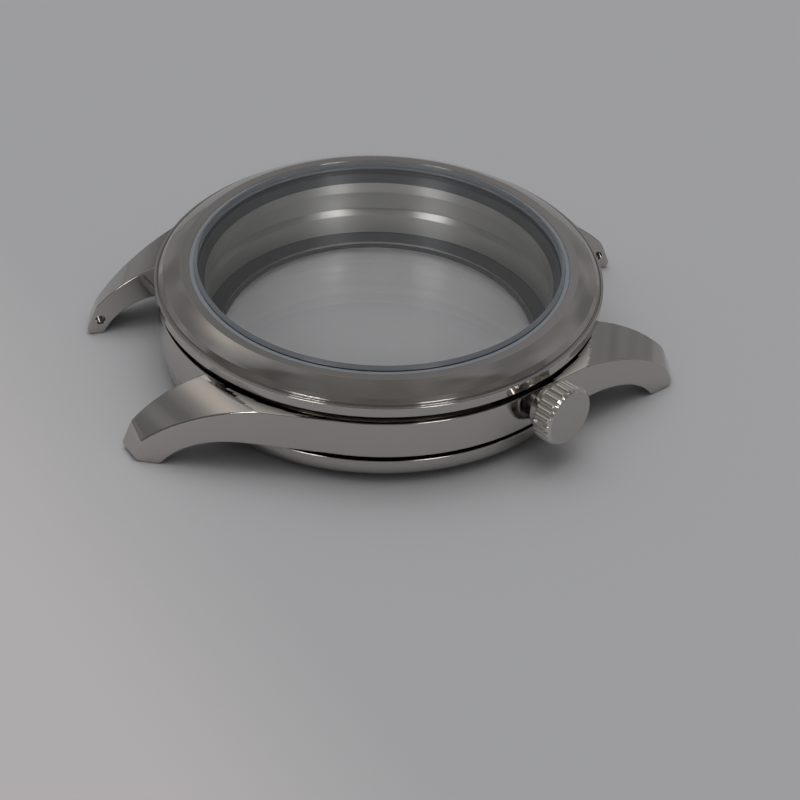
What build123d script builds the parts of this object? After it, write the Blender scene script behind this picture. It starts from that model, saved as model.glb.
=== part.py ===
from build123d import *
from math import acos, atan2, cos, hypot, radians, sin, sqrt, tan
import os

# An empty round wristwatch case, in millimetres.
# Z = 0 is the surface the case lies on, +Z comes out of the crystal,
# +X points to three o'clock and +Y to twelve o'clock.

# Driving dimensions
bezel_radius = 21.0
band_radius = 20.75
band_low = 3.48
band_top = 7.18
bore_radius = 16.8
back_radius = 20.4
window_radius = 15.6
window_thickness = 1.3
crystal_radius = 17.35
crystal_thickness = 1.7
crystal_top = 10.9
strap_gap = 18.0
spring_bar_hole_radius = 0.5
crown_angle = 30.2
crown_height = 5.62
crown_radius = 2.94
crown_ridges = 24

# Clearances between pieces that move on each other
back_clearance = 0.03
post_clearance = 0.06
seal_clearance = 0.04

# Seats shared by several pieces
neck_radius = 19.4
neck_top = 8.6
dial_shoulder = 6.8
rehaut_pocket_radius = 17.6
back_seat_radius = 18.2
back_seat_top = 4.6
seal_groove_radius = 18.9
seal_groove_top = 4.0
bezel_low = 8.1
bezel_rim = 10.5
bezel_seat_radius = 19.6
bezel_seat = 8.75
crystal_ledge = 9.05
crystal_ledge_radius = 16.6
crystal_seat_radius = 17.75
tube_radius = 1.28
tube_start = 18.3
break_edge = 0.1


def outline(points):
    return make_face(Polyline(*points, close=True))


def turned(face):
    # A face drawn with x as radius and y as height, turned about the Z axis
    return revolve(Plane.XZ * face, Axis.Z)


def ring(inner, outer, low, high):
    return turned(outline([(inner, low), (outer, low), (outer, high), (inner, high)]))


def on_crown_axis(shape):
    # A shape drawn about Z, with z as the distance from the case's own axis
    turn = radians(crown_angle)
    outward = (cos(turn), sin(turn), 0)
    sideways = (-sin(turn), cos(turn), 0)
    axis = Plane(origin=(0, 0, crown_height), x_dir=sideways, z_dir=outward)
    return axis.location * shape


# Middle case with its four lugs

# A lug's upper and lower faces run level along a line that leans outward by
# lug_lean. They are drawn with u as the distance across that line, v as height.
lug_lean = 21.8
lug_slope = 14.58
lug_knee = (20.5, 7.09)
lug_nose_radius = 12.52
lug_under_start = 20.94
lug_under_radius = 5.88

# The tip is drawn the same way, across a line with its own lean
tip_lean = 15.0
tip_u = 27.75
tip_foot = 0.4
tip_facet_drop = 1.0
tip_facet_back = 0.1
tip_facet_slope = 70.0

# Where the outer face ends, and the blind holes for the spring bar
lug_corner = (11.6, 25.0)
spring_bar_reach = 25.05
spring_bar_height = 1.55
spring_bar_hole_depth = 0.8
stem_hole_radius = 0.9


def lug_side_face():
    # The upper edge slopes down evenly to the knee, then bends over in an arc to the foot
    fall = radians(lug_slope)
    knee_u, knee_v = lug_knee
    start = (knee_u - (band_top - knee_v) / tan(fall), band_top)
    nose_u = knee_u - lug_nose_radius * sin(fall)
    nose_v = knee_v - lug_nose_radius * cos(fall)
    nose_end = (nose_u + sqrt(lug_nose_radius**2 - nose_v**2), 0)
    under_start = (lug_under_start, band_low)
    under_v = band_low - lug_under_radius
    under_end = (lug_under_start + sqrt(lug_under_radius**2 - under_v**2), 0)
    inner_corners = [(10, band_low), (10, band_top)]
    return make_face([
        Line(start, lug_knee),
        TangentArc(lug_knee, nose_end, tangent=(cos(fall), -sin(fall))),
        Line(nose_end, under_end),
        TangentArc(under_start, under_end, tangent=(1, 0)),
        Polyline(under_start, *inner_corners, start),
    ])


def lug_end_face():
    # All that lies short of the tip: rounded over the foot, under a flat facet
    rise = 8.0
    foot = (tip_u - tip_foot, 0)
    facet = (tip_u - tip_facet_back, tip_facet_drop)
    facet_end = (facet[0] - rise / tan(radians(tip_facet_slope)), facet[1] + rise)
    return make_face([
        ThreePointArc(foot, (tip_u, (tip_facet_drop + 0.25) / 2), facet),
        Polyline(facet, facet_end, (0, facet_end[1]), (0, -1), (foot[0], -1), foot),
    ])


def leaning_prism(face, lean):
    # A face drawn with x across a line that leans outward, extruded both ways along it
    turn = radians(lean)
    across = (sin(turn), cos(turn), 0)
    along = (cos(turn), -sin(turn), 0)
    return extrude(Plane(origin=(0, 0, 0), x_dir=across, z_dir=along) * face, amount=40, both=True)


def lug():
    # From above, the outer face is a straight line that leaves the band as a tangent
    corner_x, corner_y = lug_corner
    inner = strap_gap / 2
    touch_angle = atan2(corner_y, corner_x) - acos(band_radius / hypot(corner_x, corner_y))
    touch_x = band_radius * cos(touch_angle)
    touch_y = band_radius * sin(touch_angle)
    past_x = corner_x + (corner_x - touch_x) * 0.3
    past_y = corner_y + (corner_y - touch_y) * 0.3
    column = extrude(outline([
        (inner, 14), (inner, past_y), (past_x, past_y), (touch_x, touch_y), (touch_x - 4, touch_y),
    ]), amount=band_top)
    body = column & leaning_prism(lug_side_face(), lug_lean)
    body = body & leaning_prism(lug_end_face(), tip_lean)
    return body - Cylinder(band_radius - 0.15, 40)


def spring_bar_holes():
    holes = []
    for side in (-1, 1):
        for end in (-1, 1):
            centre = (side * strap_gap / 2, end * spring_bar_reach, spring_bar_height)
            mouth = Plane(origin=centre, z_dir=(side, 0, 0))
            holes.append(extrude(mouth * Circle(spring_bar_hole_radius), amount=spring_bar_hole_depth))
    return holes


def middle_case():
    band = turned(outline([
        (band_radius, band_low), (band_radius, band_top - break_edge), (band_radius - break_edge, band_top),
        (neck_radius, band_top), (neck_radius, neck_top), (rehaut_pocket_radius, neck_top),
        (rehaut_pocket_radius, dial_shoulder), (bore_radius, dial_shoulder), (bore_radius, back_seat_top),
        (back_seat_radius, back_seat_top), (back_seat_radius, seal_groove_top),
        (seal_groove_radius, seal_groove_top), (seal_groove_radius, band_low),
    ]))
    right_lug = lug()
    upper_lugs = right_lug + mirror(right_lug, Plane.YZ)
    body = band + upper_lugs + mirror(upper_lugs, Plane.XZ)
    body -= on_crown_axis(ring(0, stem_hole_radius, bore_radius - 2, tube_start + 1))
    body -= on_crown_axis(ring(0, tube_radius, tube_start, band_radius + 2))
    return body - spring_bar_holes()


# Bezel, crystal and the ring under them

def bezel():
    # A straight lip, a fine step, a rounded shoulder, a slope and a flat rim round the crystal
    lip_top = 9.1
    step = bezel_radius - 0.28
    return turned(outline([
        (bezel_seat_radius, bezel_low), (bezel_radius - break_edge, bezel_low),
        (bezel_radius, bezel_low + break_edge), (bezel_radius, lip_top - break_edge),
        (bezel_radius - break_edge, lip_top), (step, lip_top), (step, lip_top + 0.08),
        (step - 0.15, lip_top + 0.2), (step - 0.5, lip_top + 0.52), (18.6, bezel_rim),
        (crystal_seat_radius, bezel_rim), (crystal_seat_radius, crystal_ledge),
        (crystal_ledge_radius, crystal_ledge), (crystal_ledge_radius, bezel_seat),
        (bezel_seat_radius, bezel_seat),
    ]))


def bezel_seal():
    # Nylon ring between the neck and the bezel, with a flange over the neck's top
    return turned(outline([
        (neck_radius, 8.2), (bezel_seat_radius, 8.2), (bezel_seat_radius, bezel_seat),
        (18.0, bezel_seat), (18.0, neck_top), (neck_radius, neck_top),
    ]))


def crystal():
    bevel = 0.3
    low = crystal_top - crystal_thickness
    return turned(outline([
        (0, low), (crystal_radius, low), (crystal_radius, crystal_top - bevel),
        (crystal_radius - bevel, crystal_top), (0, crystal_top),
    ]))


def crystal_gasket():
    # Nylon ring that the crystal is pressed into, with a lip under the glass
    lip_radius = crystal_ledge_radius + 0.4
    lip_top = crystal_top - crystal_thickness
    wall_top = bezel_rim - 0.05
    return turned(outline([
        (lip_radius, crystal_ledge), (crystal_seat_radius, crystal_ledge),
        (crystal_seat_radius, wall_top), (crystal_radius, wall_top), (crystal_radius, lip_top),
        (lip_radius, lip_top),
    ]))


def rehaut_ring():
    # Sloping ring that stands on the dial shoulder, under the bezel's ledge
    outer = rehaut_pocket_radius - 0.05
    foot_radius = 16.05
    foot_height = 0.2
    top = neck_top + 0.1
    return turned(outline([
        (outer, dial_shoulder), (outer, top), (crystal_ledge_radius, top),
        (foot_radius, dial_shoulder + foot_height), (foot_radius, dial_shoulder),
    ]))


# Push-fit back with its window
back_side_low = 2.1
back_side_top = 2.77
back_round = 1.5
back_slope = 35.0
back_shoulder_radius = 19.7
back_rim_top = 4.5
back_mouth_radius = 17.0
back_opening_radius = 16.5
window_ledge_top = 1.9
window_ledge_radius = 15.0
window_seat_radius = 16.0


def back_ring():
    slope = radians(back_slope)
    round_end = (
        back_radius - back_round + back_round * sin(slope),
        back_side_low - back_round * cos(slope),
    )
    foot_radius = round_end[0] - round_end[1] / tan(slope)
    rim = back_seat_radius - back_clearance
    corners = [
        (back_radius, back_side_low), (back_radius, back_side_top - break_edge),
        (back_radius - break_edge, back_side_top), (back_shoulder_radius, back_side_top),
        (back_shoulder_radius, band_low), (rim, band_low), (rim, back_rim_top - break_edge),
        (rim - break_edge, back_rim_top), (back_mouth_radius, back_rim_top),
        (back_opening_radius, back_rim_top - back_mouth_radius + back_opening_radius),
        (back_opening_radius, window_ledge_top), (window_ledge_radius, window_ledge_top),
        (window_ledge_radius, window_thickness), (window_seat_radius, window_thickness),
        (window_seat_radius, 0), (foot_radius, 0), round_end,
    ]
    return turned(make_face([
        Polyline(*corners),
        TangentArc(corners[0], round_end, tangent=(0, -1)),
    ]))


def back_window():
    return turned(outline([
        (0, 0), (window_radius - break_edge, 0), (window_radius, break_edge),
        (window_radius, window_thickness), (0, window_thickness),
    ]))


def back_window_gasket():
    return ring(window_radius, window_seat_radius, 0.05, window_thickness)


def back_seal():
    return ring(back_seat_radius + 0.05, seal_groove_radius - 0.05, band_low + 0.03, seal_groove_top)


# Crown and its tube, drawn about Z and laid on the crown's axis
tube_end = 23.45
post_radius = 0.8
post_start = 20.5
post_end = 23.9
stem_thread_radius = 0.45
stem_thread_depth = 2.2
hub_radius = 2.2
hub_start = 21.35
cap_start = 22.3
cap_end = 24.3
ridge_radius = 0.34
cavity_radius = 1.7
cavity_end = 23.62
seal_places = (21.84, 22.22)


def case_tube():
    return on_crown_axis(ring(post_radius + post_clearance, tube_radius, tube_start, tube_end))


def crown_shell():
    # Rounded ridges round a plain core, bevelled front and rear, on a smaller hub
    ridges = PolarLocations(crown_radius - ridge_radius, crown_ridges) * Circle(ridge_radius)
    section = Circle(crown_radius - 0.2) + ridges
    bevels = turned(outline([
        (0, cap_start), (crown_radius - 0.2, cap_start), (crown_radius, cap_start + 0.2),
        (crown_radius, cap_end - 0.3), (crown_radius - 0.3, cap_end), (0, cap_end),
    ]))
    cap = bevels & Pos(0, 0, cap_start) * extrude(section, amount=cap_end - cap_start)
    body = cap + ring(cavity_radius, hub_radius, hub_start, cap_start + 0.1)
    body -= ring(0, cavity_radius, hub_start - 1, cavity_end)
    body -= ring(0, post_radius, cavity_end - 0.1, post_end)
    return on_crown_axis(body)


def crown_core():
    # Post with the tapped hole that a winding stem screws into
    post = ring(0, post_radius, post_start, post_end)
    return on_crown_axis(post - ring(0, stem_thread_radius, post_start - 1, post_start + stem_thread_depth))


def crown_seal(place):
    middle = (tube_radius + cavity_radius) / 2
    return on_crown_axis(Pos(0, 0, place) * Torus(middle, middle - tube_radius - seal_clearance))


def crown_seal_washer():
    low = hub_start + 0.1
    return on_crown_axis(ring(tube_radius + seal_clearance, cavity_radius - seal_clearance, low, low + 0.2))


parts = {
    "mid_case": middle_case(),
    "bezel": bezel(),
    "bezel_seal": bezel_seal(),
    "crystal": crystal(),
    "crystal_gasket": crystal_gasket(),
    "rehaut_ring": rehaut_ring(),
    "case_tube": case_tube(),
    "back_seal": back_seal(),
    "back_ring": back_ring(),
    "back_window": back_window(),
    "back_window_gasket": back_window_gasket(),
    "crown_shell": crown_shell(),
    "crown_core": crown_core(),
    "crown_seal_inner": crown_seal(seal_places[0]),
    "crown_seal_outer": crown_seal(seal_places[1]),
    "crown_seal_washer": crown_seal_washer(),
}

os.makedirs("parts", exist_ok=True)
for name, shape in parts.items():
    export_step(shape, f"parts/{name}.step")
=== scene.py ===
import bmesh
import bpy
import numpy as np
from mathutils import Matrix, Vector


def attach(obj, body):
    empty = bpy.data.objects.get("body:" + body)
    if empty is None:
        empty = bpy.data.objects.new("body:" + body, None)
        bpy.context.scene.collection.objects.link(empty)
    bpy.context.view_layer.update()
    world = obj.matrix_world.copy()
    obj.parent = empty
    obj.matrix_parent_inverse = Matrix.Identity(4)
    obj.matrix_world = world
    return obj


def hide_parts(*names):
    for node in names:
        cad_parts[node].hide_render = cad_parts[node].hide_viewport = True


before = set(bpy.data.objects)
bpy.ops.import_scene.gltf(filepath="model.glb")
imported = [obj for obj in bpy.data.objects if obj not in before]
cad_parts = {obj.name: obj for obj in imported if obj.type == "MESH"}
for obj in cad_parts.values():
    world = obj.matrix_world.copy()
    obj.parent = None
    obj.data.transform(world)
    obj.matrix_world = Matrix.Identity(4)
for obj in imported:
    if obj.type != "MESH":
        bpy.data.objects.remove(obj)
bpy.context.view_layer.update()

mm = 0.001         # every shape below is worked out in millimetres
fullTurn = 2 * np.pi
turnedSteps = 384  # points round a turned piece


# Meshes from whole arrays

def outwardFaces(points, faces):
    # Signed volume = sum of a . (b x c) / 6 over the triangles; a negative one means inside out
    a, b, c, d = (points[faces[:, k]] for k in range(4))
    volume = np.sum(a * np.cross(b, c)) + np.sum(a * np.cross(c, d))
    return faces if volume > 0 else faces[:, ::-1]


def gridShell(points, ringShaped):
    # points[row, column]: each row is a closed loop, and quads join it to the next row.
    # A ring's last row joins its first; otherwise both end rows have shrunk to a point or a line.
    rows, columns = points.shape[:2]
    r = np.arange(rows if ringShaped else rows - 1)[:, None]
    c = np.arange(columns)[None, :]
    below, after = (r + 1) % rows, (c + 1) % columns
    corners = [r * columns + c, r * columns + after, below * columns + after, below * columns + c]
    faces = np.stack(corners, -1).reshape(-1, 4)
    flat = points.reshape(-1, 3)
    return flat, outwardFaces(flat, faces)


def makeMesh(name, shells):
    # One mesh from closed shells. Points that lie on each other are merged, which closes poles and seams.
    starts = np.cumsum([0] + [len(points) for points, _ in shells])
    points = np.concatenate([points for points, _ in shells]) * mm
    faces = np.concatenate([faces + start for (_, faces), start in zip(shells, starts)])
    mesh = bpy.data.meshes.new(name)
    mesh.from_pydata(points.tolist(), [], faces.tolist())
    work = bmesh.new()
    work.from_mesh(mesh)
    bmesh.ops.remove_doubles(work, verts=work.verts, dist=0.5e-6)
    bmesh.ops.dissolve_degenerate(work, edges=work.edges, dist=1e-7)
    work.to_mesh(mesh)
    work.free()
    mesh.polygons.foreach_set("use_smooth", np.ones(len(mesh.polygons), bool))
    return mesh


def paintFaces(mesh, material, chosen):
    # Gives another material to the faces whose centres, in mm, are chosen
    centres = np.empty(len(mesh.polygons) * 3)
    mesh.polygons.foreach_get("center", centres)
    slots = np.empty(len(mesh.polygons), dtype=np.int32)
    mesh.polygons.foreach_get("material_index", slots)
    slots[chosen(centres.reshape(-1, 3) / mm)] = len(mesh.materials)
    mesh.materials.append(material)
    mesh.polygons.foreach_set("material_index", slots)


def addPiece(name, mesh, material, body, nodes, inside=None):
    # A finished piece, with its material, body and the CAD nodes that it replaces. inside is another
    # material and the rule for its faces.
    piece = bpy.data.objects.new(name, mesh)
    bpy.context.scene.collection.objects.link(piece)
    mesh.materials.append(material)
    if inside:
        paintFaces(mesh, *inside)
    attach(piece, body)
    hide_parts(*nodes)


def roundedOutline(corners, steps=5, hold=0.05):
    # Corners are (across, up, radius). Each becomes an arc that touches both its runs, and each
    # run keeps a point close to either end, so that flat faces shade flat.
    corners = np.array([(*corner, 0.0)[:3] for corner in corners])
    spots, radii = corners[:, :2], corners[:, 2]
    back = np.roll(spots, 1, axis=0) - spots
    ahead = np.roll(spots, -1, axis=0) - spots
    back /= np.linalg.norm(back, axis=1)[:, None]
    ahead /= np.linalg.norm(ahead, axis=1)[:, None]
    between = np.arccos(np.clip(np.sum(back * ahead, axis=1), -1, 1))
    reach = (radii / np.tan(between / 2))[:, None]
    middle = back + ahead
    middle /= np.maximum(np.linalg.norm(middle, axis=1), 1e-9)[:, None]
    centre = spots + middle * (radii / np.sin(between / 2))[:, None]
    share = np.linspace(0, 1, steps + 1)[None, :, None]
    sweep = (np.pi - between)[:, None, None]
    first = (spots + back * reach - centre)[:, None, :]
    last = (spots + ahead * reach - centre)[:, None, :]
    swing = np.sin((1 - share) * sweep) * first + np.sin(share * sweep) * last
    arcs = centre[:, None, :] + swing / np.maximum(np.sin(sweep), 1e-9)
    line = []
    for k, arc in enumerate(arcs):
        line.extend(arc if radii[k] > 0 else [spots[k]])
        following = (k + 1) % len(arcs)
        end = arcs[following][0] if radii[following] > 0 else spots[following]
        run = end - line[-1]
        length = np.linalg.norm(run)
        if length > 3 * hold:
            line += [line[-1] + run * hold / length, end - run * hold / length]
    return np.array(line)


def turnedShell(corners, steps=5, hold=0.05):
    # x = r cos a, y = r sin a, z = height: a rounded outline (r, z) carried once round the Z axis.
    # An outline whose first and last corners lie on the axis makes a plug, any other a ring.
    outline = roundedOutline(corners, steps, hold)
    plug = corners[0][0] == 0
    if plug:
        last = np.flatnonzero(outline[:, 0] > 1e-6)[-1]
        closing = np.array(corners[-1][:2])
        outline = np.vstack([outline[:last + 1], closing])
        keep = np.linalg.norm(np.diff(outline, axis=0), axis=1) > 1e-6
        outline = outline[np.append(True, keep)]
    angle = np.linspace(0, fullTurn, turnedSteps, endpoint=False)
    r, z = outline[:, :1], outline[:, 1:]
    return gridShell(np.stack([r * np.cos(angle), r * np.sin(angle), z + 0 * angle], -1), not plug)


# Materials

def linear(hexColour):
    # sRGB to linear: c / 12.92 below 0.04045, else ((c + 0.055) / 1.055) to the power 2.4
    channels = np.array([int(hexColour[k:k + 2], 16) for k in (1, 3, 5)]) / 255
    return (*np.where(channels <= 0.04045, channels / 12.92, ((channels + 0.055) / 1.055) ** 2.4), 1.0)


def addNode(tree, kind, inputs=None, **settings):
    # One node with its settings. Each input is a value, or the socket that feeds it.
    node = tree.nodes.new("ShaderNode" + kind)
    for key, value in settings.items():
        setattr(node, key, value)
    for key, value in (inputs or {}).items():
        if isinstance(value, bpy.types.NodeSocket):
            tree.links.new(value, node.inputs[key])
        else:
            node.inputs[key].default_value = value
    return node


def startMaterial(name):
    material = bpy.data.materials.new(name)
    material.use_nodes = True
    material.node_tree.nodes.clear()
    return material, material.node_tree


def finishMaterial(tree, surface):
    addNode(tree, "OutputMaterial", {"Surface": surface})


def placeOnObject(tree):
    return addNode(tree, "TexCoord").outputs["Object"]


def outFromAxis(tree, place):
    # Distance from the case's axis, and the object's coordinates one by one
    parts = addNode(tree, "SeparateXYZ", {"Vector": place})
    flat = addNode(tree, "CombineXYZ", {"X": parts.outputs[0], "Y": parts.outputs[1]})
    radius = addNode(tree, "VectorMath", {0: flat.outputs[0]}, operation="LENGTH")
    return radius.outputs["Value"], parts.outputs


def heightBetween(tree, value, low, high):
    # 1 where a length in the object's own coordinates lies between two others, in mm
    middle, reach = (low + high) / 2 * mm, (high - low) / 2 * mm
    return addNode(tree, "Math", {0: value, 1: middle, 2: reach}, operation="COMPARE").outputs[0]


def buffedSteel():
    # Stainless steel, ground and buffed on a cloth wheel: a clear mirror with a faint warm tint,
    # a little haze from handling, and hairline scratches that only break up the highlights
    steel = dict(
        colour="#BDB9B5", roughness=(0.07, 0.13),
        grooveShadeColour="#56524D",  # painted shade: the grooves are coloured dark, as little light gets into them
        grooveRadii=(19.0, 20.25),                # mm
        grooveHeights=((2.74, 3.55), (6.9, 7.6)),  # mm
        hazeSize=6.0, hazeNoise=(0.35, 0.7),      # mm across a patch of haze, and what it is made from
        scratchSpacing=0.35,     # mm, coarser than real ones, which would not show
        scratchDepth=0.0001,     # mm
    )
    material, tree = startMaterial("buffedStainlessSteel")
    place = placeOnObject(tree)
    radius, parts = outFromAxis(tree, place)
    # painted shade: the colour turns dark inside the grooves between bezel, band and back
    inGroove = heightBetween(tree, radius, *steel["grooveRadii"])
    levels = [heightBetween(tree, parts[2], *heights) for heights in steel["grooveHeights"]]
    for other in levels[1:]:
        levels[0] = addNode(tree, "Math", {0: levels[0], 1: other}, operation="ADD").outputs[0]
    dark = addNode(tree, "Math", {0: inGroove, 1: levels[0]}, operation="MULTIPLY")
    colour = addNode(tree, "Mix", {
        "Factor": dark.outputs[0], "A": linear(steel["colour"]), "B": linear(steel["grooveShadeColour"]),
    }, data_type="RGBA")
    haze = addNode(tree, "TexNoise", {"Vector": place, "Scale": 1 / (steel["hazeSize"] * mm), "Detail": 3.0})
    rough = addNode(tree, "MapRange", {
        "Value": haze.outputs[0],
        "From Min": steel["hazeNoise"][0], "From Max": steel["hazeNoise"][1],
        "To Min": steel["roughness"][0], "To Max": steel["roughness"][1],
    })
    fine = addNode(tree, "TexNoise", {
        "Vector": place, "Scale": 1 / (steel["scratchSpacing"] * mm), "Detail": 4.0, "Distortion": 1.5,
    })
    bump = addNode(tree, "Bump", {
        "Height": fine.outputs[0], "Strength": 1.0, "Distance": steel["scratchDepth"] * mm,
    })
    shader = addNode(tree, "BsdfPrincipled", {
        "Base Color": colour.outputs["Result"], "Metallic": 1.0,
        "Roughness": rough.outputs[0], "Normal": bump.outputs[0],
    })
    finishMaterial(tree, shader.outputs[0])
    return material


def turnedSteel():
    # Stainless steel turned on a lathe: fine rings round the axis, which draw a reflection out
    # across them and keep it narrow along them
    steel = dict(
        colour="#A6A5A1", roughness=0.4, stretch=0.9,
        paintedShadeColour="#4E5053",    # painted reflection and shade: under the glass and on the window's ledge the colour is darkened, for the dark rings the steel mirrors there
        paintedShadeHeights=((7.85, 9.3), (1.8, 2.0)),  # mm
        ringSpacing=0.3,         # mm, about three times the real feed, so that the rings show
        ringDepth=0.0012,        # mm
        patchSize=2.5,           # mm across a patch where the rings are deeper or shallower
    )
    material, tree = startMaterial("latheTurnedSteel")
    place = placeOnObject(tree)
    radius, parts = outFromAxis(tree, place)
    along = addNode(tree, "Math", {0: radius, 1: parts[2]}, operation="ADD")
    perRing = fullTurn / (steel["ringSpacing"] * mm)
    phase = addNode(tree, "Math", {0: along.outputs[0], 1: perRing}, operation="MULTIPLY")
    wave = addNode(tree, "Math", {0: phase.outputs[0]}, operation="SINE")
    uneven = addNode(tree, "TexNoise", {
        "Vector": place, "Scale": 1 / (steel["patchSize"] * mm), "Detail": 2.0,
    })
    height = addNode(tree, "Math", {0: wave.outputs[0], 1: uneven.outputs[0]}, operation="MULTIPLY")
    bump = addNode(tree, "Bump", {
        "Height": height.outputs[0], "Strength": 0.5, "Distance": steel["ringDepth"] * mm,
    })
    # across the rings: the surface normal crossed with the direction round the axis, (-y, x, 0)
    minusY = addNode(tree, "Math", {0: parts[1], 1: -1.0}, operation="MULTIPLY")
    around = addNode(tree, "CombineXYZ", {"X": minusY.outputs[0], "Y": parts[0]})
    facing = addNode(tree, "NewGeometry").outputs["Normal"]
    across = addNode(tree, "VectorMath", {0: around.outputs[0], 1: facing}, operation="CROSS_PRODUCT")
    # painted reflection and shade: the colour turns dark at these heights
    dark = [heightBetween(tree, parts[2], *heights) for heights in steel["paintedShadeHeights"]]
    share = addNode(tree, "Math", {0: dark[0], 1: dark[1]}, operation="ADD")
    colour = addNode(tree, "Mix", {
        "Factor": share.outputs[0], "A": linear(steel["colour"]), "B": linear(steel["paintedShadeColour"]),
    }, data_type="RGBA")
    shader = addNode(tree, "BsdfPrincipled", {
        "Base Color": colour.outputs["Result"], "Metallic": 1.0, "Roughness": steel["roughness"],
        "Anisotropic": steel["stretch"], "Tangent": across.outputs[0], "Normal": bump.outputs[0],
    })
    finishMaterial(tree, shader.outputs[0])
    return material


def satinSteel(name, colour, roughness):
    # Stainless steel with a fine even grain: a grey sheen with no clear reflection
    steel = dict(colour=colour, roughness=roughness, grainSize=0.12, grainDepth=0.0015)  # mm
    material, tree = startMaterial(name)
    grain = addNode(tree, "TexNoise", {
        "Vector": placeOnObject(tree), "Scale": 1 / (steel["grainSize"] * mm), "Detail": 3.0,
    })
    bump = addNode(tree, "Bump", {
        "Height": grain.outputs[0], "Strength": 0.6, "Distance": steel["grainDepth"] * mm,
    })
    shader = addNode(tree, "BsdfPrincipled", {
        "Base Color": linear(steel["colour"]), "Metallic": 1.0,
        "Roughness": steel["roughness"], "Normal": bump.outputs[0],
    })
    finishMaterial(tree, shader.outputs[0])
    return material


def mineralGlass():
    # Hardened mineral glass, ground flat and polished: clear, and almost without a colour of its
    # own. Lamps reach what is behind it.
    glass = dict(colour="#FAFAFA", index=1.52)
    material, tree = startMaterial("polishedMineralGlass")
    path = addNode(tree, "LightPath")
    clear = addNode(tree, "BsdfTransparent", {"Color": linear(glass["colour"])})
    shader = addNode(tree, "BsdfPrincipled", {
        "Base Color": linear(glass["colour"]), "Roughness": 0.0,
        "IOR": glass["index"], "Transmission Weight": 1.0,
    })
    both = addNode(tree, "MixShader", {
        0: path.outputs["Is Shadow Ray"], 1: shader.outputs[0], 2: clear.outputs[0],
    })
    finishMaterial(tree, both.outputs[0])
    return material


def groundGlass():
    # The crystal's bevelled edge is ground: grey and dull, with a soft sheen
    glass = dict(colour="#62666B", roughness=0.16, index=1.52)
    material, tree = startMaterial("groundGlassEdge")
    shader = addNode(tree, "BsdfPrincipled", {
        "Base Color": linear(glass["colour"]), "Roughness": glass["roughness"], "IOR": glass["index"],
    })
    finishMaterial(tree, shader.outputs[0])
    return material


def mouldedNylon():
    # Natural nylon, injection moulded: milky, slightly blue against steel, with a soft shine
    nylon = dict(
        colour="#71767C", roughness=0.4, index=1.53, grainSize=0.4, grainDepth=0.002,  # mm
        lightReach=0.4,          # mm that light travels inside it
    )
    material, tree = startMaterial("mouldedNaturalNylon")
    grain = addNode(tree, "TexNoise", {"Vector": placeOnObject(tree), "Scale": 1 / (nylon["grainSize"] * mm)})
    bump = addNode(tree, "Bump", {
        "Height": grain.outputs[0], "Strength": 0.2, "Distance": nylon["grainDepth"] * mm,
    })
    shader = addNode(tree, "BsdfPrincipled", {
        "Base Color": linear(nylon["colour"]), "Roughness": nylon["roughness"], "IOR": nylon["index"],
        "Subsurface Weight": 0.3, "Subsurface Radius": (nylon["lightReach"] * mm,) * 3,
        "Normal": bump.outputs[0],
    })
    finishMaterial(tree, shader.outputs[0])
    return material


def mouldedRubber():
    # Nitrile rubber, moulded: black and dull
    rubber = dict(colour="#141413", roughness=0.65, grainSize=0.15, grainDepth=0.005)  # mm
    material, tree = startMaterial("mouldedNitrileRubber")
    grain = addNode(tree, "TexNoise", {
        "Vector": placeOnObject(tree), "Scale": 1 / (rubber["grainSize"] * mm),
    })
    bump = addNode(tree, "Bump", {
        "Height": grain.outputs[0], "Strength": 0.3, "Distance": rubber["grainDepth"] * mm,
    })
    shader = addNode(tree, "BsdfPrincipled", {
        "Base Color": linear(rubber["colour"]), "Roughness": rubber["roughness"],
        "Normal": bump.outputs[0],
    })
    finishMaterial(tree, shader.outputs[0])
    return material


steelMirror = buffedSteel()
steelTurned = turnedSteel()
steelSatin = satinSteel("lappedStainlessSteel", "#BBB8B3", 0.34)
steelDull = satinSteel("paintedLightCornerSteel", "#D2CEC8", 0.6)       # painted light: dull and paler than the mirror, so the flat corners show light grey in place of a reflection
steelRidged = satinSteel("millingCutStainlessSteel", "#D2CEC8", 0.2)  # rougher, to spread the lamps' highlights, and paler: a painted brightening of the lit ridges
glassEdge = groundGlass()
glassClear = mineralGlass()
nylonMilky = mouldedNylon()
rubberBlack = mouldedRubber()
print("materials made")


# Middle case: a turned band

band = dict(
    radius=20.75, low=3.48, top=7.18, edge=0.1,
    neckRadius=19.4, neckTop=8.6,
    pocketRadius=17.6, shoulder=6.8, boreRadius=16.8,
    seatRadius=18.2, seatTop=4.6, grooveRadius=18.9, grooveTop=4.0,
    crownAngle=30.2, crownHeight=5.62, stemHoleRadius=0.9,
)


def bandShell():
    b = band
    edge = b["edge"]
    return turnedShell([
        (b["radius"], b["low"], edge), (b["radius"], b["top"], edge), (b["neckRadius"], b["top"]),
        (b["neckRadius"], b["neckTop"], edge), (b["pocketRadius"], b["neckTop"], 0.05),
        (b["pocketRadius"], b["shoulder"]), (b["boreRadius"], b["shoulder"], 0.05),
        (b["boreRadius"], b["seatTop"], 0.05), (b["seatRadius"], b["seatTop"]),
        (b["seatRadius"], b["grooveTop"]), (b["grooveRadius"], b["grooveTop"]),
        (b["grooveRadius"], b["low"], 0.05),
    ], steps=4)


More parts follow.
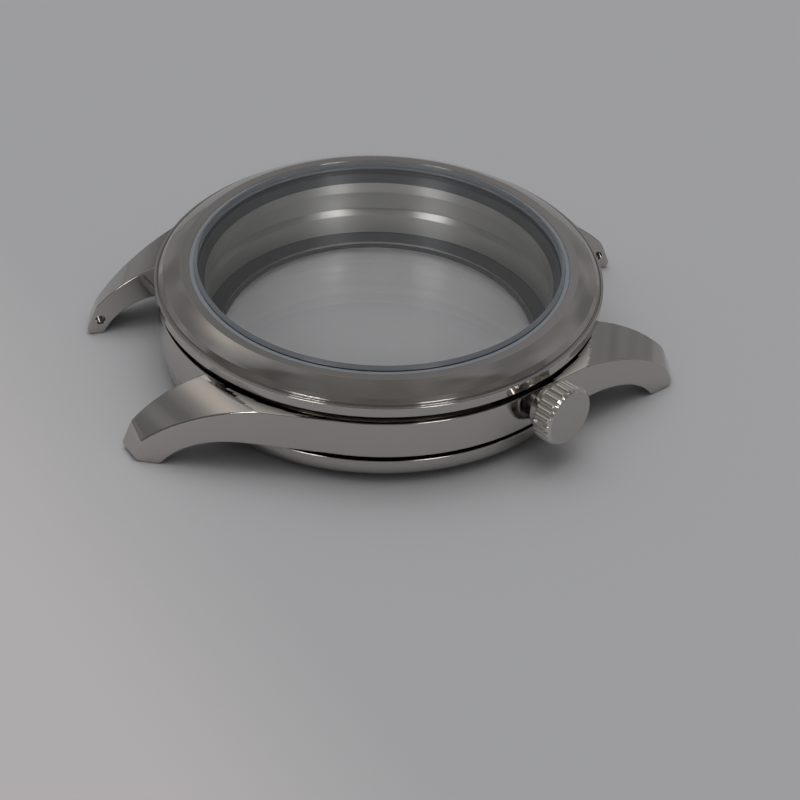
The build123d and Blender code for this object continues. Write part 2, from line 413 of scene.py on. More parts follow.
# Lugs. Seen from above, a lug lies between its flat inner face and a straight outer face that
# leaves the band as a tangent. u and w are distances outward across lines that lean by lean and
# tipLean: the upper and lower faces depend on u, the tip on w.
lug = dict(
    gap=18.0, cornerAcross=11.6, cornerOut=25.0,
    lean=21.8, slope=14.58, knee=(20.5, 7.09), noseRadius=12.52,
    underStart=20.94, underRadius=5.88,
    tipLean=15.0, tipOut=27.75, tipFoot=0.4, tipRise=0.25, facetDrop=1.0, facetBack=0.1, facetSlope=70.0,
    edge=0.13, cove=0.45, rootRadius=20.3, rootDrop=0.04, rootOut=12.0,
    holeOut=25.05, holeHeight=1.55, holeRadius=0.5, holeDepth=0.8,
    columns=34, sideRows=12, runRows=44, facetRows=16, footRows=7,
)
slopeAngle, facetAngle = np.radians(lug["slope"]), np.radians(lug["facetSlope"])
noseCentre = np.array(lug["knee"]) - lug["noseRadius"] * np.array([np.sin(slopeAngle), np.cos(slopeAngle)])
underCentre = np.array([lug["underStart"], band["low"] - lug["underRadius"]])
cornerDistance = np.hypot(lug["cornerAcross"], lug["cornerOut"])
touchAngle = np.arctan2(lug["cornerOut"], lug["cornerAcross"]) - np.arccos(band["radius"] / cornerDistance)
facetTop = lug["tipOut"] - lug["facetBack"]


def outAcross(x, y, lean):
    return x * np.sin(np.radians(lean)) + y * np.cos(np.radians(lean))


def throughThree(a, b, c):
    # Centre and radius of the circle through three points
    (ax, ay), (bx, by), (cx, cy) = a, b, c
    d = 2 * (ax * (by - cy) + bx * (cy - ay) + cx * (ay - by))
    sa, sb, sc = ax * ax + ay * ay, bx * bx + by * by, cx * cx + cy * cy
    centre = np.array([
        (sa * (by - cy) + sb * (cy - ay) + sc * (ay - by)) / d,
        (sa * (cx - bx) + sb * (ax - cx) + sc * (bx - ax)) / d,
    ])
    return centre, np.hypot(*(centre - a))


footPoint = (lug["tipOut"] - lug["tipFoot"], 0.0)
tipPoint = (lug["tipOut"], (lug["facetDrop"] + lug["tipRise"]) / 2)
footCentre, footRadius = throughThree(footPoint, tipPoint, (facetTop, lug["facetDrop"]))


def lugTop(x, y):
    # Height of the upper face: the band's top, then an even slope to the knee, then an arc over it.
    # Next to the band's wall a small cove rises by a quarter circle.
    u = outAcross(x, y, lug["lean"])
    sloping = lug["knee"][1] - (u - lug["knee"][0]) * np.tan(slopeAngle)
    arc = noseCentre[1] + np.sqrt(np.maximum(lug["noseRadius"]**2 - (u - noseCentre[0])**2, 0))
    top = np.minimum(np.where(u < lug["knee"][0], sloping, arc), band["top"] - 0.004)
    cove = np.minimum(lug["cove"], band["top"] - top)
    gone = np.clip(np.hypot(x, y) - band["radius"], 0, cove)
    return top + cove - np.sqrt(np.maximum(cove**2 - (cove - gone)**2, 0))


def lugFacet(x, y):
    return lug["facetDrop"] + (facetTop - outAcross(x, y, lug["tipLean"])) * np.tan(facetAngle)


def lugBottom(x, y):
    # Height of the lower face: the band's lower edge, then an arc down to the foot
    u = outAcross(x, y, lug["lean"])
    arc = underCentre[1] + np.sqrt(np.maximum(lug["underRadius"]**2 - (u - underCentre[0])**2, 0))
    return np.maximum(np.where(u < lug["underStart"], band["low"], arc), 0)


def lugOutside(p):
    # How far a point lies outside the lug, in mm: the largest of its distances to the faces,
    # with the edges rounded as the length of (distance + edge) where several are near zero.
    x, y, z = p[..., 0], p[..., 1], p[..., 2]
    step = 1e-3
    steepness = np.hypot(lugTop(x + step, y) - lugTop(x - step, y), lugTop(x, y + step) - lugTop(x, y - step))
    u, w = outAcross(x, y, lug["lean"]), outAcross(x, y, lug["tipLean"])
    under = np.where(u < lug["underStart"], band["low"] - z,
                     lug["underRadius"] - np.hypot(u - underCentre[0], z - underCentre[1]))
    facet = (w - facetTop) * np.sin(facetAngle) + (z - lug["facetDrop"]) * np.cos(facetAngle)
    foot = np.where(w > footCentre[0], np.hypot(w - footCentre[0], z - footCentre[1]) - footRadius, -1.0)
    faces = np.stack([
        lug["gap"] / 2 - x,
        x * np.cos(touchAngle) + y * np.sin(touchAngle) - band["radius"],
        (z - lugTop(x, y)) / np.sqrt(1 + (steepness / (2 * step))**2),
        under,
        -z,
        np.where(z > lug["facetDrop"], facet, foot),
    ])
    near = np.maximum(faces + lug["edge"], 0)
    return np.minimum(faces.max(axis=0), -lug["edge"]) + np.sqrt(np.sum(near**2, axis=0))


def settle(points, outside, rounds=5):
    # Moves each point along the slope of outside() until it is zero: p - f * g / (g . g)
    step = 1e-4
    shifts = np.eye(3) * step
    for _ in range(rounds):
        value = outside(points)
        slope = np.stack([(outside(points + s) - outside(points - s)) / (2 * step) for s in shifts], -1)
        points = points - slope * (value / np.maximum(np.sum(slope**2, axis=-1), 0.2))[..., None]
    return points


def spaced(count, length, near):
    # Places along an edge-to-edge width: close together next to both ends, even between.
    # length holds one width per row; near lists the first distances from an end.
    near = np.array(near)[None, :] + 0 * length[:, None]
    even = np.linspace(0, 1, count)[None, 1:-1]
    inside = near[:, -1:] + (length[:, None] - 2 * near[:, -1:]) * even
    return np.concatenate([near, inside, length[:, None] - near[:, ::-1]], axis=1) / length[:, None]


def lugPlan(across, along, beyond=0.0):
    # From above: straight lines from the arc of the root to the line of the tip, and past it by beyond
    low = np.arctan2(np.sqrt(lug["rootRadius"]**2 - (lug["gap"] / 2)**2), lug["gap"] / 2)
    angle = low + across * (touchAngle - low)
    radius = lug["rootRadius"] + (band["radius"] - lug["rootRadius"]) * across**8
    lean = np.radians(lug["tipLean"])
    innerTip = (facetTop - lug["gap"] / 2 * np.sin(lean)) / np.cos(lean)
    # the outer face's line, x cos t + y sin t = R, meets the tip's line
    solve = np.linalg.solve([[np.cos(touchAngle), np.sin(touchAngle)], [np.sin(lean), np.cos(lean)]],
                            [band["radius"], facetTop])
    tip = np.stack([lug["gap"] / 2 + across * (solve[0] - lug["gap"] / 2),
                    innerTip + across * (solve[1] - innerTip)], -1)
    root = np.stack([radius * np.cos(angle), radius * np.sin(angle)], -1)
    line = tip - root
    stretch = along + beyond / (line[..., 0] * np.sin(lean) + line[..., 1] * np.cos(lean))
    return root + line * stretch[..., None]


def lugShell():
    # Rows run from the root to the tip, columns go round: over the top, down the outer face, back
    # under the foot and up the inner face. At both ends a row shrinks to a line.
    runRows, facetRows, footRows = lug["runRows"], lug["facetRows"], lug["footRows"]
    near = (0, 0.03, 0.07, 0.12, 0.2)

    def crossing(lower, upper, across):
        # Where along each column the arc and the facet have the same height, by halving
        a, b = lower + 0 * across, upper + 0 * across
        for _ in range(40):
            middle = (a + b) / 2
            x, y = np.moveaxis(lugPlan(across, middle), -1, 0)
            above = lugFacet(x, y) > lugTop(x, y)
            a, b = np.where(above, middle, a), np.where(above, b, middle)
        return a

    def columnsAt(along):
        # Places across for each row
        span = np.linalg.norm(lugPlan(1 + 0 * along, along) - lugPlan(0 * along, along), axis=-1)
        return spaced(lug["columns"], span, near)

    # upper face: rows up to the facet, rows down the facet, rows round the foot's upper half
    run = np.linspace(0, 1, runRows)**0.85
    fall = np.linspace(0, 1, facetRows)[1:]
    across = columnsAt(np.concatenate([run * 0.8, 0.8 + fall * 0.2]))
    start = crossing(0.3, 1.0, across)
    onArc = run[:, None] * start[:runRows]
    onFacet = start[runRows:] + (1 - start[runRows:]) * fall[:, None]
    along = np.concatenate([onArc, onFacet])
    plan = lugPlan(across, along)
    x, y = plan[..., 0], plan[..., 1]
    upper = np.stack([x, y, np.minimum(lugTop(x, y), lugFacet(x, y))], -1)

    # foot: an arc, followed by its angle
    topAngle = np.arctan2(lug["facetDrop"] - footCentre[1], facetTop - footCentre[0])
    footAngle = np.arctan2(footPoint[1] - footCentre[1], footPoint[0] - footCentre[0])

    def footRow(angle):
        beyond = footCentre[0] + footRadius * np.cos(angle) - facetTop
        spots = lugPlan(across[-1], np.ones_like(across[-1]), beyond)
        height = footCentre[1] + footRadius * np.sin(angle)
        return np.column_stack([spots, np.full(len(spots), height)])

    middleAngle = (topAngle + footAngle) / 2
    upperFoot = np.stack([footRow(a) for a in np.linspace(topAngle, middleAngle, footRows)[1:]])
    lowerFoot = np.stack([footRow(a) for a in np.linspace(footAngle, middleAngle, footRows)[1:]])
    upper = np.concatenate([upper, upperFoot])

    # lower face: the same number of rows, up to the foot's lower corner
    count = runRows + facetRows - 1
    even = np.linspace(0, 1, count)
    lowAcross = columnsAt(even)
    shorten = (footPoint[0] - facetTop) * even**4
    x, y = np.moveaxis(lugPlan(lowAcross, even[:, None] + 0 * lowAcross, shorten[:, None]), -1, 0)
    lower = np.concatenate([np.stack([x, y, lugBottom(x, y)], -1), lowerFoot])

    def wall(first, last):
        # Points down a side, between an upper and a lower edge
        height = np.linalg.norm(last - first, axis=-1)
        share = spaced(lug["sideRows"], np.maximum(height, 1e-6), near)
        share = np.where(height[:, None] > 4 * near[-1], share, np.linspace(0, 1, share.shape[1])[None, :])
        return (first[:, None, :] + (last - first)[:, None, :] * share[..., None])[:, 1:-1]

    outer = wall(upper[:, -1], lower[:, -1])
    inner = wall(lower[:, 0], upper[:, 0])
    rows = np.concatenate([upper, outer, lower[:, ::-1], inner], axis=1)
    closed = rows[:1].copy()
    closed[..., 2] = (band["low"] + band["top"]) / 2
    settled = settle(rows, lugOutside)
    # the root is inside the band, so its first rows stay as they are
    keep = np.clip((np.hypot(rows[..., 0], rows[..., 1]) - lug["rootRadius"]) / 0.2, 0, 1)[..., None]
    rows = rows + (settled - rows) * keep
    return gridShell(np.concatenate([closed, rows]), False)


def mirrored(shell, flips):
    points, faces = shell
    points = points * np.array(flips)
    return points, outwardFaces(points, faces)


def drill(name, radius, start, end, steps=40):
    # A closed round rod from start to end, taken away from a piece by a Boolean
    start, end = np.array(start, float), np.array(end, float)
    along = (end - start) / np.linalg.norm(end - start)
    aside = np.cross(along, (0, 0, 1.0))
    aside /= np.linalg.norm(aside)
    upward = np.cross(aside, along)
    angle = np.linspace(0, fullTurn, steps, endpoint=False)[:, None]
    circle = radius * (np.cos(angle) * aside + np.sin(angle) * upward)
    rows = np.stack([start + 0 * circle, start + circle, end + circle, end + 0 * circle])
    mesh = makeMesh(name, [gridShell(rows, False)])
    rod = bpy.data.objects.new(name, mesh)
    bpy.context.scene.collection.objects.link(rod)
    return rod


def cutAway(mesh, rods, sharpest=35.0):
    # Boolean difference of a mesh and some rods. Edges sharper than the angle then shade as edges.
    work = bpy.data.objects.new("work", mesh)
    bpy.context.scene.collection.objects.link(work)
    for rod in rods:
        cut = work.modifiers.new("cut", "BOOLEAN")
        cut.operation, cut.solver, cut.object = "DIFFERENCE", "EXACT", rod
    bpy.context.view_layer.update()
    graph = bpy.context.evaluated_depsgraph_get()
    result = bpy.data.meshes.new_from_object(work.evaluated_get(graph))
    result.name = mesh.name
    for o in [work, *rods]:
        bpy.data.objects.remove(o)
    result.polygons.foreach_set("use_smooth", np.ones(len(result.polygons), bool))
    result.set_sharp_from_angle(angle=np.radians(sharpest))
    return result


def axisDistance(at):
    # Distances of points from the case's axis
    return np.hypot(at[:, 0], at[:, 1])


def lugRoots(at):
    # The flat corners of the top between the bezel's circle and the lugs' slopes
    flat = at[:, 2] > band["top"] - lug["rootDrop"]
    return flat & (axisDistance(at) > band["radius"]) & (np.abs(at[:, 1]) > lug["rootOut"])


def middleCase():
    oneLug = lugShell()
    lugs = [mirrored(oneLug, (side, end, 1)) for side in (-1, 1) for end in (-1, 1)]
    inner = lug["gap"] / 2
    holes = [
        drill("hole", lug["holeRadius"], (side * (inner - 1), end * lug["holeOut"], lug["holeHeight"]),
              (side * (inner + lug["holeDepth"]), end * lug["holeOut"], lug["holeHeight"]))
        for side in (-1, 1) for end in (-1, 1)
    ]
    lugMesh = cutAway(makeMesh("lugs", lugs), holes)
    turn = np.radians(band["crownAngle"])
    outward = np.array([np.cos(turn), np.sin(turn), 0])
    centre = np.array([0, 0, band["crownHeight"]])
    passage = drill("passage", band["stemHoleRadius"], centre + outward * (band["boreRadius"] - 1),
                    centre + outward * (band["neckRadius"] - 0.5))
    bandMesh = cutAway(makeMesh("band", [bandShell()]), [passage])
    joined = bmesh.new()
    joined.from_mesh(bandMesh)
    joined.from_mesh(lugMesh)
    mesh = bpy.data.meshes.new("middle_case")
    joined.to_mesh(mesh)
    joined.free()
    bore = (steelTurned, lambda at: axisDistance(at) < band["pocketRadius"] + 0.05)
    addPiece("middle_case", mesh, steelMirror, "case", ["mid_case"], bore)
    # painted light: the flat corners at the lugs' roots get the dull, paler steel in place of their
    # reflection
    paintFaces(mesh, steelDull, lugRoots)


middleCase()
print("middle case made")


# Bezel: a straight lip, a fine step, a rounded shoulder, a slope and a flat rim round the crystal

bezel = dict(
    radius=21.0, low=8.1, lipTop=9.1, step=0.28, rim=10.5, rimRadius=18.6,
    seatRadius=17.75, ledge=9.05, ledgeRadius=16.6, neckRadius=19.6, neckTop=8.75,
    bulge=0.045, bulgeRound=11.0,                             # how far buffing has rounded the slope
    grooveWidth=0.14, grooveDepth=0.12, grooveLean=(0.06, -0.02),  # fine line between lip and shoulder
    shoulderRise=0.17, footIn=0.5, footUp=0.52, footRound=0.3,
)


def makeBezel():
    b = bezel
    step = b["radius"] - b["step"]
    foot = np.array([step - b["footIn"], b["lipTop"] + b["footUp"]])
    head = np.array([b["rimRadius"], b["rim"]])
    upright = np.array([head[1] - foot[1], foot[0] - head[0]]) / np.linalg.norm(head - foot)
    middle = (foot + head) / 2 + upright * b["bulge"]
    grooveFloor = b["lipTop"] - b["grooveDepth"]
    outerWall, innerWall = b["grooveLean"]
    shell = turnedShell([
        (b["neckRadius"], b["low"], 0.05), (b["radius"], b["low"], 0.1), (b["radius"], b["lipTop"], 0.1),
        (step + outerWall, b["lipTop"], 0.03), (step + innerWall, grooveFloor),
        (step - b["grooveWidth"], grooveFloor),
        (step - b["grooveWidth"], b["lipTop"] + b["shoulderRise"], 0.06),
        (*foot, b["footRound"]), (*middle, b["bulgeRound"]), (*head, 0.12),
        (b["seatRadius"], b["rim"], 0.04), (b["seatRadius"], b["ledge"]),
        (b["ledgeRadius"], b["ledge"], 0.03), (b["ledgeRadius"], b["neckTop"], 0.03),
        (b["neckRadius"], b["neckTop"]),
    ], steps=8)
    mesh = makeMesh("polished_bezel", [shell])
    ledge = (steelTurned, lambda at: axisDistance(at) < b["seatRadius"] - 0.02)
    addPiece("polished_bezel", mesh, steelMirror, "case", ["bezel"], ledge)


makeBezel()


# Crystal, and the nylon ring that holds it

crystal = dict(
    radius=17.35, low=9.2, top=10.9, bevel=0.3,
    ringRadius=17.75, ringTop=10.45, ringLow=9.05, lipRadius=17.0,
    bite=0.01,               # the pressed glass sinks into the nylon, so that it shows through
)


def makeCrystal():
    c = crystal
    glass = turnedShell([
        (0, c["low"]), (c["radius"], c["low"], 0.05), (c["radius"], c["top"] - c["bevel"], 0.05),
        (c["radius"] - c["bevel"], c["top"], 0.05), (0, c["top"]),
    ])

    def onBevel(at):
        outermost = axisDistance(at) > c["radius"] - c["bevel"] - 0.03
        return outermost & (at[:, 2] > c["top"] - c["bevel"] - 0.05)

    mesh = makeMesh("flat_crystal", [glass])
    addPiece("flat_crystal", mesh, glassClear, "case", ["crystal"], (glassEdge, onBevel))
    pressedRadius, pressedLow = c["radius"] - c["bite"], c["low"] + c["bite"]
    ring = turnedShell([
        (c["lipRadius"], c["ringLow"]), (c["ringRadius"], c["ringLow"]),
        (c["ringRadius"], c["ringTop"], 0.04), (pressedRadius, c["ringTop"], 0.04),
        (pressedRadius, pressedLow), (c["lipRadius"], pressedLow),
    ])
    mesh = makeMesh("crystal_ring", [ring])
    addPiece("crystal_ring", mesh, nylonMilky, "case", ["crystal_gasket"])


makeCrystal()


# Ring with a sloping face, between the crystal and the dial's place

rehaut = dict(outer=17.55, low=6.8, top=8.7, footRadius=16.05, footHeight=0.2, topRadius=16.6)


def makeRehaut():
    r = rehaut
    shell = turnedShell([
        (r["outer"], r["low"]), (r["outer"], r["top"], 0.05), (r["topRadius"], r["top"], 0.06),
        (r["footRadius"], r["low"] + r["footHeight"], 0.04), (r["footRadius"], r["low"], 0.04),
    ])
    mesh = makeMesh("sloping_ring", [shell])
    addPiece("sloping_ring", mesh, steelTurned, "case", ["rehaut_ring"])


makeRehaut()


# Back: a ring with a rounded underside, a window and its gasket

back = dict(
    radius=20.4, sideLow=2.1, sideTop=2.77, round=1.5, slope=35.0, edge=0.1,
    shoulderRadius=19.7, neckTop=3.48, rimRadius=18.17, rimTop=4.5, mouthRadius=17.0, openingRadius=16.5,
    ledgeTop=1.9, ledgeRadius=15.0, seatRadius=16.0, windowRadius=15.6, windowThickness=1.3,
    gap=0.003,               # between the window and what it lies against
    gasketLow=0.02, gasketDrop=0.01,
    sealLine=0.3,            # thin dark line of seal round the window's edge
)


def makeBack():
    b = back
    slope = np.radians(b["slope"])
    roundOut = b["radius"] - b["round"] + b["round"] * np.sin(slope)
    roundUp = b["sideLow"] - b["round"] * np.cos(slope)
    footRadius = roundOut - roundUp / np.tan(slope)
    cornerUp = b["sideLow"] - b["round"] * np.tan((np.pi / 2 - slope) / 2)
    neckTop = b["neckTop"] - 0.01
    shell = turnedShell([
        (footRadius, 0, 0.15), (b["radius"], cornerUp, b["round"]), (b["radius"], b["sideTop"], b["edge"]),
        (b["shoulderRadius"], b["sideTop"]), (b["shoulderRadius"], neckTop), (b["rimRadius"], neckTop),
        (b["rimRadius"], b["rimTop"], b["edge"]), (b["mouthRadius"], b["rimTop"]),
        (b["openingRadius"], b["rimTop"] - b["mouthRadius"] + b["openingRadius"], 0.1),
        (b["openingRadius"], b["ledgeTop"]), (b["ledgeRadius"], b["ledgeTop"], 0.05),
        (b["ledgeRadius"], b["windowThickness"]), (b["seatRadius"], b["windowThickness"]),
        (b["seatRadius"], 0, 0.05),
    ], steps=6)

    def innerWalls(at):
        return (axisDistance(at) < b["rimRadius"] + 0.02) & (at[:, 2] > b["edge"])

    mesh = makeMesh("back_cover", [shell])
    inside = (steelTurned, innerWalls)
    addPiece("back_cover", mesh, steelMirror, "back", ["back_ring"], inside)
    windowTop = b["windowThickness"] - b["gap"]
    glass = turnedShell([
        (0, 0), (b["windowRadius"], 0, 0.08), (b["windowRadius"], windowTop, 0.05), (0, windowTop),
    ])
    mesh = makeMesh("window_glass", [glass])
    addPiece("window_glass", mesh, glassClear, "back", ["back_window"])
    near, far = b["windowRadius"] + b["gap"], b["seatRadius"] - b["gap"]
    low, top = b["gasketLow"], b["windowThickness"] - b["gasketDrop"]
    ring = turnedShell([(near, low, 0.05), (far, low, 0.05), (far, top), (near, top)])
    far, low = b["ledgeRadius"] + 0.01, b["windowThickness"] + 0.002
    near, top = far - b["sealLine"], low + b["sealLine"]
    seal = turnedShell([(near, low, 0.03), (near, top, 0.05), (far, top), (far, low)])
    dark = (rubberBlack, lambda at: axisDistance(at) < b["windowRadius"] - 0.1)
    mesh = makeMesh("window_gasket", [ring, seal])
    addPiece("window_gasket", mesh, nylonMilky, "back", ["back_window_gasket"], dark)


makeBack()
print("bezel, glasses and back made")


# Crown: rounded ridges round a plain core, bevelled front and rear, on a smaller hub

crown = dict(
    angle=30.2, height=5.62, radius=2.94, coreRadius=2.74, ridges=24, ridgeRadius=0.34,
    hubStart=21.35, hubRadius=2.2, capStart=22.3, capEnd=24.3, cavityRadius=1.7, cavityEnd=23.62,
    bevel=0.32, rearBevel=0.2, stepsPerRidge=20,
)


def makeCrown():
    # A rounded outline (radius, distance out) carried round the crown's axis. On the cap the radius
    # is never more than that of the ridges: R cos d + sqrt(r^2 - (R sin d)^2), d from a ridge's middle.
    c = crown
    outline = roundedOutline([
        (0, c["capEnd"]), (c["radius"] - c["bevel"], c["capEnd"], 0.12),
        (c["radius"], c["capEnd"] - c["bevel"], 0.2), (c["radius"], c["capStart"] + c["rearBevel"], 0.1),
        (c["coreRadius"], c["capStart"], 0.05), (c["hubRadius"], c["capStart"]),
        (c["hubRadius"], c["hubStart"], 0.1), (c["cavityRadius"], c["hubStart"], 0.1),
        (c["cavityRadius"], c["cavityEnd"]), (0, c["cavityEnd"]),
    ], hold=0.04)
    last = np.flatnonzero(outline[:, 0] > 1e-6)[-1]
    outline = np.vstack([outline[:last + 1], [0, c["cavityEnd"]]])
    angle = np.linspace(0, fullTurn, c["ridges"] * c["stepsPerRidge"], endpoint=False)
    fromRidge = (angle * c["ridges"] / fullTurn + 0.5) % 1 - 0.5
    turn = fromRidge * fullTurn / c["ridges"]
    middle = c["radius"] - c["ridgeRadius"]
    ridge = middle * np.cos(turn) + np.sqrt(np.maximum(c["ridgeRadius"]**2 - (middle * np.sin(turn))**2, 0))
    limit = np.maximum(ridge, c["coreRadius"])
    r, out = outline[:, :1], outline[:, 1:]
    r = np.where(out > c["capStart"] - 0.01, np.minimum(r, limit), r)
    facing = np.radians(c["angle"])
    outward = np.array([np.cos(facing), np.sin(facing), 0])
    sideways = np.array([-np.sin(facing), np.cos(facing), 0])
    across, up = r * np.cos(angle), r * np.sin(angle)
    points = (out + 0 * across)[..., None] * outward + across[..., None] * sideways
    points[..., 2] += up + c["height"]
    mesh = makeMesh("fluted_crown", [gridShell(points, False)])
    face = (steelSatin, lambda at: at @ outward > c["capEnd"] - 0.003)
    addPiece("fluted_crown", mesh, steelRidged, "crown", ["crown_shell"], face)


makeCrown()
print("crown made")


# Inner pieces, shown by the CAD's own nodes

for nodeName, material in {
    "bezel_seal": nylonMilky,
    "case_tube": steelTurned, "crown_core": steelTurned, "crown_seal_washer": steelTurned,
    "back_seal": rubberBlack, "crown_seal_inner": rubberBlack, "crown_seal_outer": rubberBlack,
}.items():
    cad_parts[nodeName].data.materials.clear()
    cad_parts[nodeName].data.materials.append(material)


# Floor, lamps and camera

view = dict(
    lens=126.0, sensor=36.0, pictureSize=800, distance=263.0, elevation=34.37, azimuth=74.24, roll=-1.73,
    aimHeight=8.1, aimPixel=(379.1, 282.8),
)


def viewDirections():
    # Unit vectors towards the camera, to the picture's right, and up the picture, before it is turned
    a, e = np.radians(view["azimuth"]), np.radians(view["elevation"])
    backward = Vector((np.sin(a) * np.cos(e), -np.cos(a) * np.cos(e), np.sin(e)))
    right = Vector((np.cos(a), np.sin(a), 0))
    return backward, right, backward.cross(right)


def onTheLevel(backward, right, aside, height):
    # Direction at an angle aside from straight behind the camera, and at a height above the floor
    level = Vector((backward.x, backward.y, 0)).normalized()
    aside, height = np.radians(aside), np.radians(height)
    flat = level * np.cos(aside) + right * np.sin(aside)
    return flat * np.cos(height) + Vector((0, 0, np.sin(height)))


def makeCamera():
    backward, right, up = viewDirections()
    pixels = view["lens"] / view["sensor"] * view["pictureSize"]
    centre = view["pictureSize"] / 2
    column, row = view["aimPixel"]
    aim = Vector(((column - centre) / pixels, -(row - centre) / pixels, -1)).normalized()
    shifted = Vector((0, 0, -1)).rotation_difference(aim).to_matrix()
    turned = shifted @ Matrix.Rotation(np.radians(view["roll"]), 3, "Z") @ Matrix((right, up, backward))
    data = bpy.data.cameras.new("camera")
    data.lens, data.sensor_width = view["lens"], view["sensor"]
    data.clip_start, data.clip_end = 0.01, 10
    camera = bpy.data.objects.new("camera", data)
    bpy.context.scene.collection.objects.link(camera)
    place = Vector((0, 0, view["aimHeight"])) + backward * view["distance"]
    camera.matrix_world = Matrix.Translation(place * mm) @ turned.transposed().to_4x4()
    bpy.context.scene.camera = camera


def makeFloor():
    # A sheet of smooth card, with painted light: its colour is paler towards the picture's lower left
    floor = dict(
        paintedLightColour="#AFACAD", farColour="#9D9D9F",
        size=6.0, drop=0.00002,                   # m
        fade=(20.0, 46.0), fadeWay=(0.49, -0.87),  # mm, and how far towards the camera and to the right
    )
    mesh = bpy.data.meshes.new("floor")
    half = floor["size"] / 2
    corners = [(-half, -half), (half, -half), (half, half), (-half, half)]
    mesh.from_pydata([(x, y, -floor["drop"]) for x, y in corners], [], [(0, 1, 2, 3)])
    piece = bpy.data.objects.new("floor", mesh)
    bpy.context.scene.collection.objects.link(piece)
    material, tree = startMaterial("smoothCard")
    backward, right, _ = viewDirections()
    level = Vector((backward.x, backward.y, 0)).normalized()
    lowerLeft = level * floor["fadeWay"][0] + right * floor["fadeWay"][1]
    along = addNode(tree, "VectorMath", {0: placeOnObject(tree), 1: lowerLeft}, operation="DOT_PRODUCT")
    # painted light: the colour fades to the paler one towards the picture's lower left
    share = addNode(tree, "MapRange", {
        "Value": along.outputs["Value"],
        "From Min": floor["fade"][0] * mm, "From Max": floor["fade"][1] * mm,
    }, interpolation_type="SMOOTHSTEP")
    colour = addNode(tree, "Mix", {
        "Factor": share.outputs[0], "A": linear(floor["farColour"]), "B": linear(floor["paintedLightColour"]),
    }, data_type="RGBA")
    shader = addNode(tree, "BsdfPrincipled", {"Base Color": colour.outputs["Result"], "Roughness": 0.9})
    finishMaterial(tree, shader.outputs[0])
    mesh.materials.append(material)


# aside is turned from straight behind the camera, to the picture's right; size is in metres, and
# strength is how many times brighter than white the lamp's face looks
lamps = [
    dict(name="rightLamp", aside=32.0, height=40.0, distance=1.3, size=(0.3, 0.26), strength=10.0),
    dict(name="leftLamp", aside=-36.0, height=40.0, distance=1.3, size=(0.3, 0.26), strength=10.0),
]


def makeLamps():
    # Two lamps behind the camera. They only show as highlights: the ceiling lights dull surfaces.
    backward, right, _ = viewDirections()
    for lamp in lamps:
        towards = onTheLevel(backward, right, lamp["aside"], lamp["height"])
        data = bpy.data.lights.new(lamp["name"], "AREA")
        data.shape, data.size, data.size_y = "RECTANGLE", lamp["size"][0], lamp["size"][1]
        data.energy = lamp["strength"] * np.pi * lamp["size"][0] * lamp["size"][1]
        thing = bpy.data.objects.new(lamp["name"], data)
        bpy.context.scene.collection.objects.link(thing)
        thing.location = towards * lamp["distance"]
        thing.rotation_mode = "QUATERNION"
        thing.rotation_quaternion = towards.to_track_quat("Z", "Y")
        thing.visible_diffuse = False


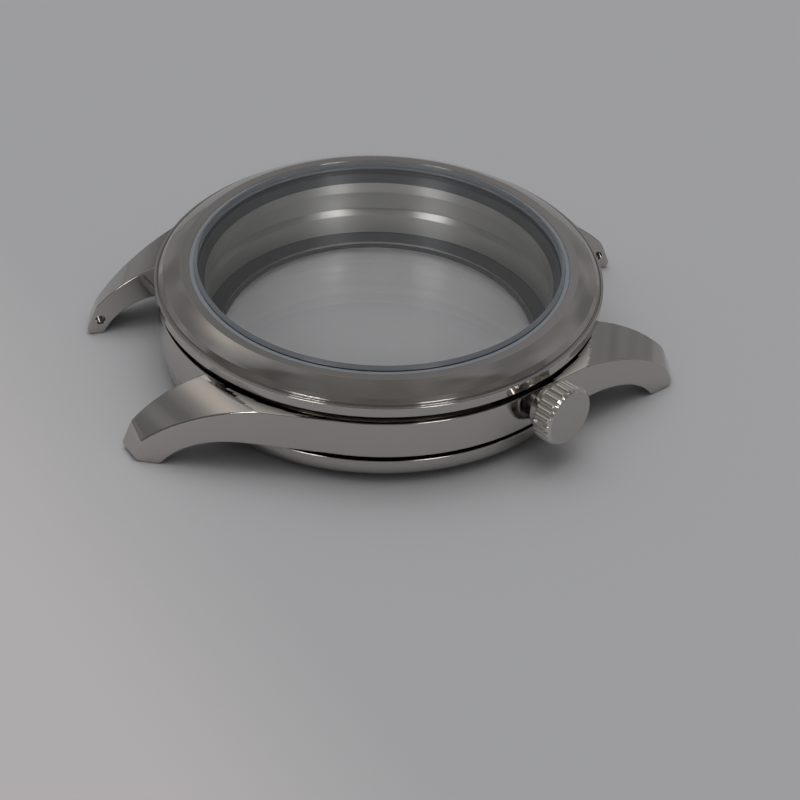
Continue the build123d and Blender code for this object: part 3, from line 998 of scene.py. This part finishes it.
def makeWorld():
    # Dull surfaces get a soft light from overhead and a little from the far left: each is
    # (cosine of the angle to it) to the power of its focus. Mirrors see a dimmer room: paler on the
    # far side, darker over the camera, with blurred furniture and one blurred lamp.
    room = dict(
        everywhere=0.08, overhead=0.6, overheadFocus=2.0, ceilingLamp=3.1, ceilingFocus=10.0,
        glow=0.35, glowFocus=6.0, glowAside=-136.0, glowHeight=52.0,
        blurredLamp=0.6, lampFocus=70.0, lampColour="#FFF6EC",
        farSide="#8A8A8B", cameraSide="#686765", edge=(-0.13, -0.07),
        clutterSize=0.25, clutter=(0.75, 1.25), clutterNoise=(0.35, 0.65),
    )
    world = bpy.data.worlds.new("room")
    world.use_nodes = True
    tree = world.node_tree
    tree.nodes.clear()

    def calculate(operation, *values):
        return addNode(tree, "Math", dict(enumerate(values)), operation=operation).outputs[0]

    def towards(vector):
        node = addNode(tree, "VectorMath", {0: direction, 1: vector}, operation="DOT_PRODUCT")
        return node.outputs["Value"]

    direction = addNode(tree, "TexCoord").outputs["Generated"]
    path = addNode(tree, "LightPath").outputs
    backward, right, _ = viewDirections()
    level = Vector((backward.x, backward.y, 0)).normalized()
    glowAt = onTheLevel(backward, right, room["glowAside"], room["glowHeight"])
    rising = calculate("MAXIMUM", towards((0, 0, 1)), 0.0)
    overhead = calculate("MULTIPLY", calculate("POWER", rising, room["overheadFocus"]), room["overhead"])
    ceiling = calculate("POWER", rising, room["ceilingFocus"])
    overhead = calculate("MULTIPLY_ADD", ceiling, room["ceilingLamp"], overhead)
    glow = calculate("POWER", calculate("MAXIMUM", towards(glowAt), 0.0), room["glowFocus"])
    light = calculate("MULTIPLY_ADD", glow, room["glow"], calculate("ADD", overhead, room["everywhere"]))
    lighting = addNode(tree, "Background", {"Color": (1, 1, 1, 1), "Strength": light})

    side = addNode(tree, "MapRange", {
        "Value": towards(level), "From Min": room["edge"][0], "From Max": room["edge"][1],
    }, interpolation_type="SMOOTHSTEP")
    shade = addNode(tree, "Mix", {
        "Factor": side.outputs[0], "A": linear(room["farSide"]), "B": linear(room["cameraSide"]),
    }, data_type="RGBA")
    furniture = addNode(tree, "TexNoise", {
        "Vector": direction, "Scale": 1 / room["clutterSize"], "Detail": 1.5,
    })
    strength = addNode(tree, "MapRange", {
        "Value": furniture.outputs[0],
        "From Min": room["clutterNoise"][0], "From Max": room["clutterNoise"][1],
        "To Min": room["clutter"][0], "To Max": room["clutter"][1],
    })
    furnished = addNode(tree, "Background", {
        "Color": shade.outputs["Result"], "Strength": strength.outputs[0],
    })
    lampShare = calculate("POWER", calculate("MAXIMUM", towards(glowAt), 0.0), room["lampFocus"])
    lampLight = calculate("MULTIPLY", lampShare, room["blurredLamp"])
    blurred = addNode(tree, "Background", {"Color": linear(room["lampColour"]), "Strength": lampLight})
    seen = addNode(tree, "AddShader", {0: furnished.outputs[0], 1: blurred.outputs[0]})
    reflected = calculate("MAXIMUM", path["Is Glossy Ray"], path["Is Camera Ray"])
    reflected = calculate("MAXIMUM", reflected, path["Is Transmission Ray"])
    both = addNode(tree, "MixShader", {0: reflected, 1: lighting.outputs[0], 2: seen.outputs[0]})
    addNode(tree, "OutputWorld", {"Surface": both.outputs[0]})
    bpy.context.scene.world = world


makeCamera()
makeFloor()
makeLamps()
makeWorld()
bpy.context.scene.view_settings.view_transform = "Standard"
print("floor, lamps and camera set")
